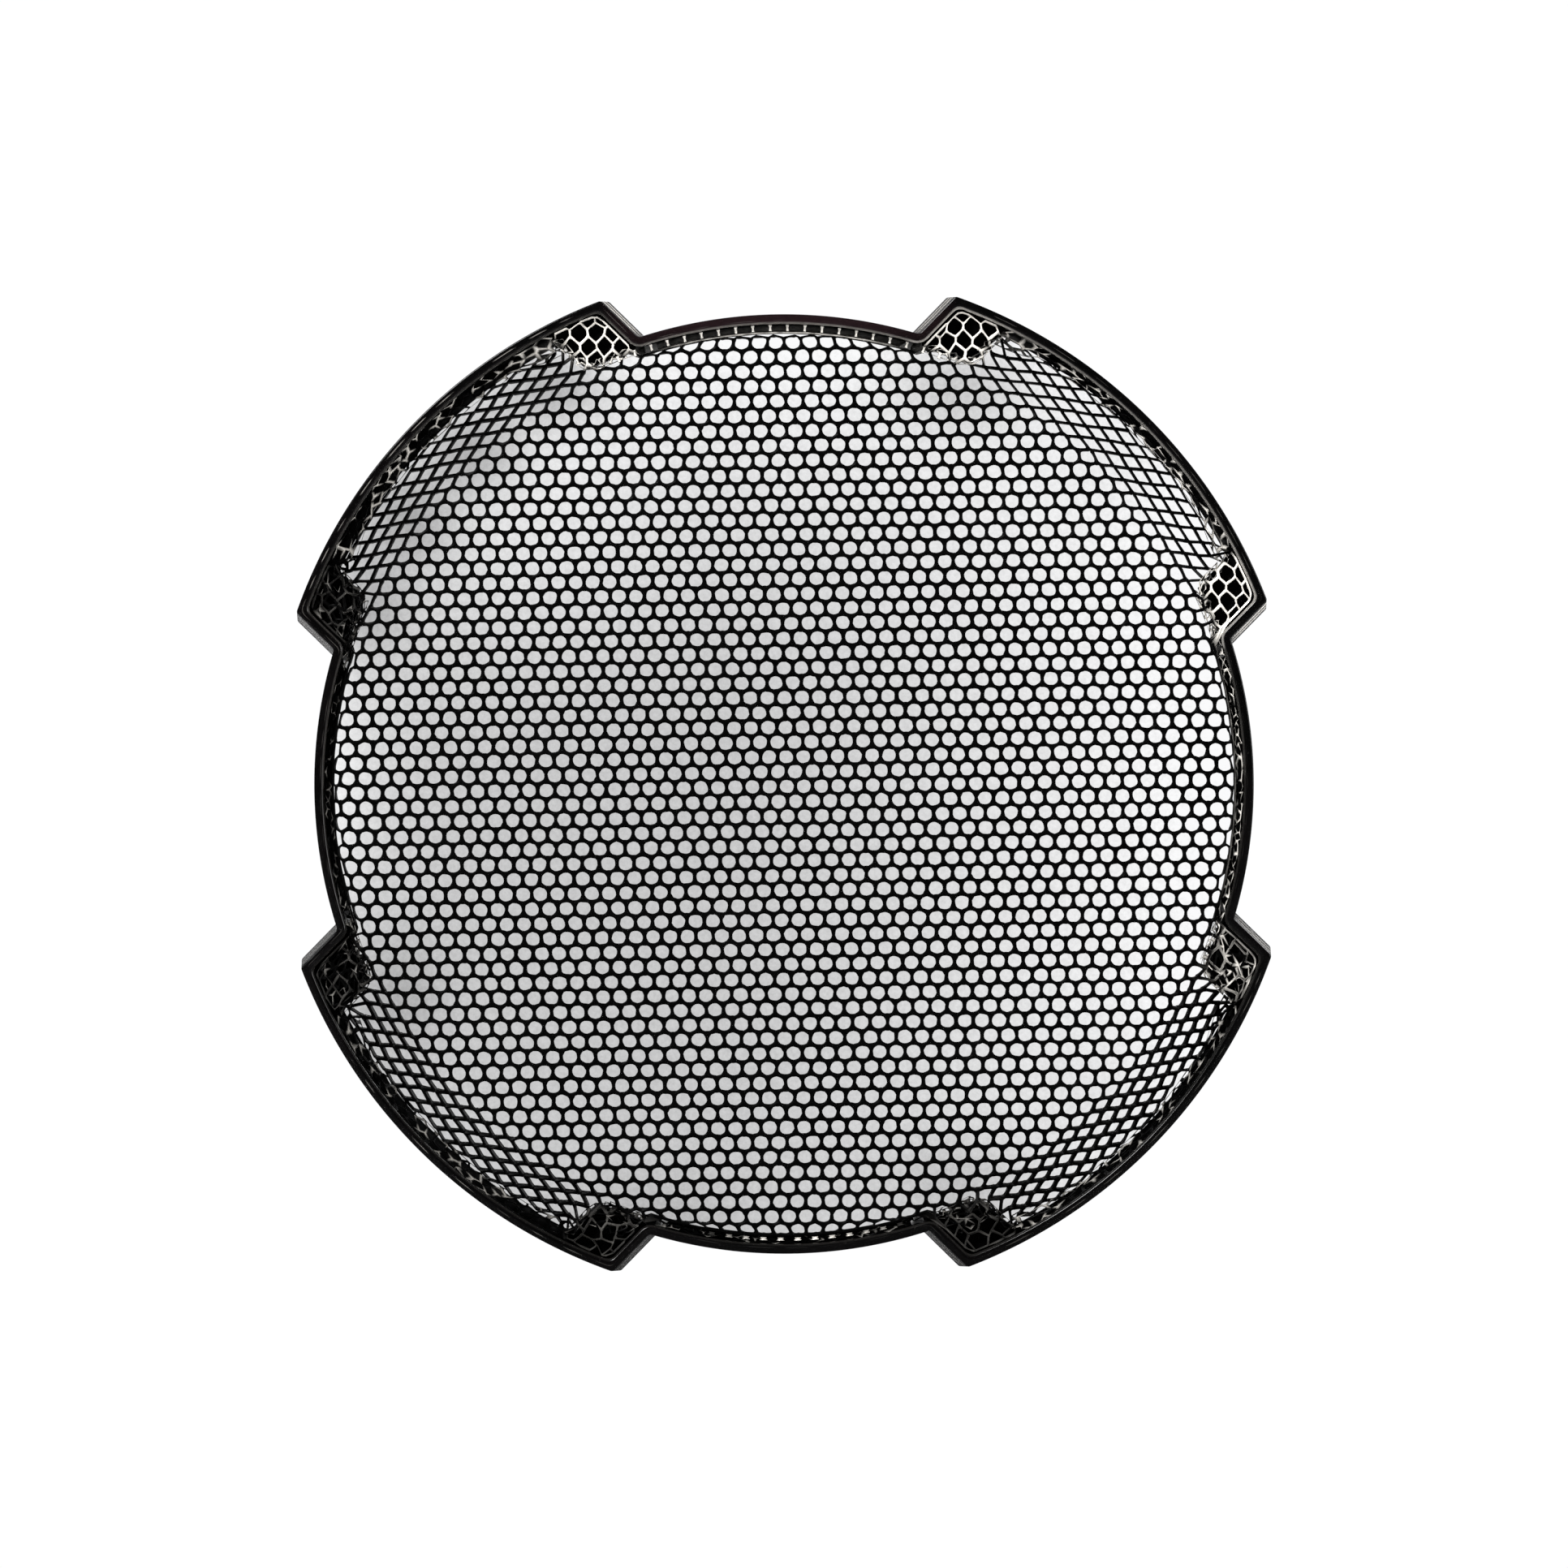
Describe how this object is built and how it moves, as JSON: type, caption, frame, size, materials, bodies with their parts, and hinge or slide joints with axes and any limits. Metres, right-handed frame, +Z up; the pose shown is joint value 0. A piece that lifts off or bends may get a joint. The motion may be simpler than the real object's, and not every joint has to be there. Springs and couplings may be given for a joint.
{
  "type": "honeycomb grid",
  "caption": "Round honeycomb light grid for a lamp reflector: black frame with lugs on its diagonals, cell core pressed back in each lug, rear ring, screws and rubber pads.",
  "frame": {"origin": "centre of the grid's bounding box, on the optical axis", "axes": "+Y along the optical axis from the front to the back, +Z up, +X to the right seen from the front"},
  "size_m": [0.1792, 0.013, 0.1792],
  "materials": {
    "frame_paint": "gloss black paint with worn bare edges",
    "core_paint": "black coated foil, bright where cell edges are bare",
    "ring_paint": "satin black paint",
    "plate_paint": "matt black",
    "screw_steel": "black oxide",
    "pad_rubber": "matt"
  },
  "bodies": {
    "root": {"front_frame": "frame_paint", "honeycomb_core": "core_paint", "rear_ring": "ring_paint", "corner_plate_upper_right_a": "plate_paint", "corner_plate_upper_right_b": "plate_paint", "corner_plate_upper_left_a": "plate_paint", "corner_plate_upper_left_b": "plate_paint", "corner_plate_lower_left_a": "plate_paint", "corner_plate_lower_left_b": "plate_paint", "corner_plate_lower_right_a": "plate_paint", "corner_plate_lower_right_b": "plate_paint", "ring_screw_upper_right_a": "screw_steel", "ring_screw_upper_right_b": "screw_steel", "ring_screw_upper_left_a": "screw_steel", "ring_screw_upper_left_b": "screw_steel", "ring_screw_lower_left_a": "screw_steel", "ring_screw_lower_left_b": "screw_steel", "ring_screw_lower_right_a": "screw_steel", "ring_screw_lower_right_b": "screw_steel", "rim_pad_upper_right": "pad_rubber", "rim_pad_upper_left": "pad_rubber", "rim_pad_lower_left": "pad_rubber", "rim_pad_lower_right": "pad_rubber"}
  },
  "joints": []
}
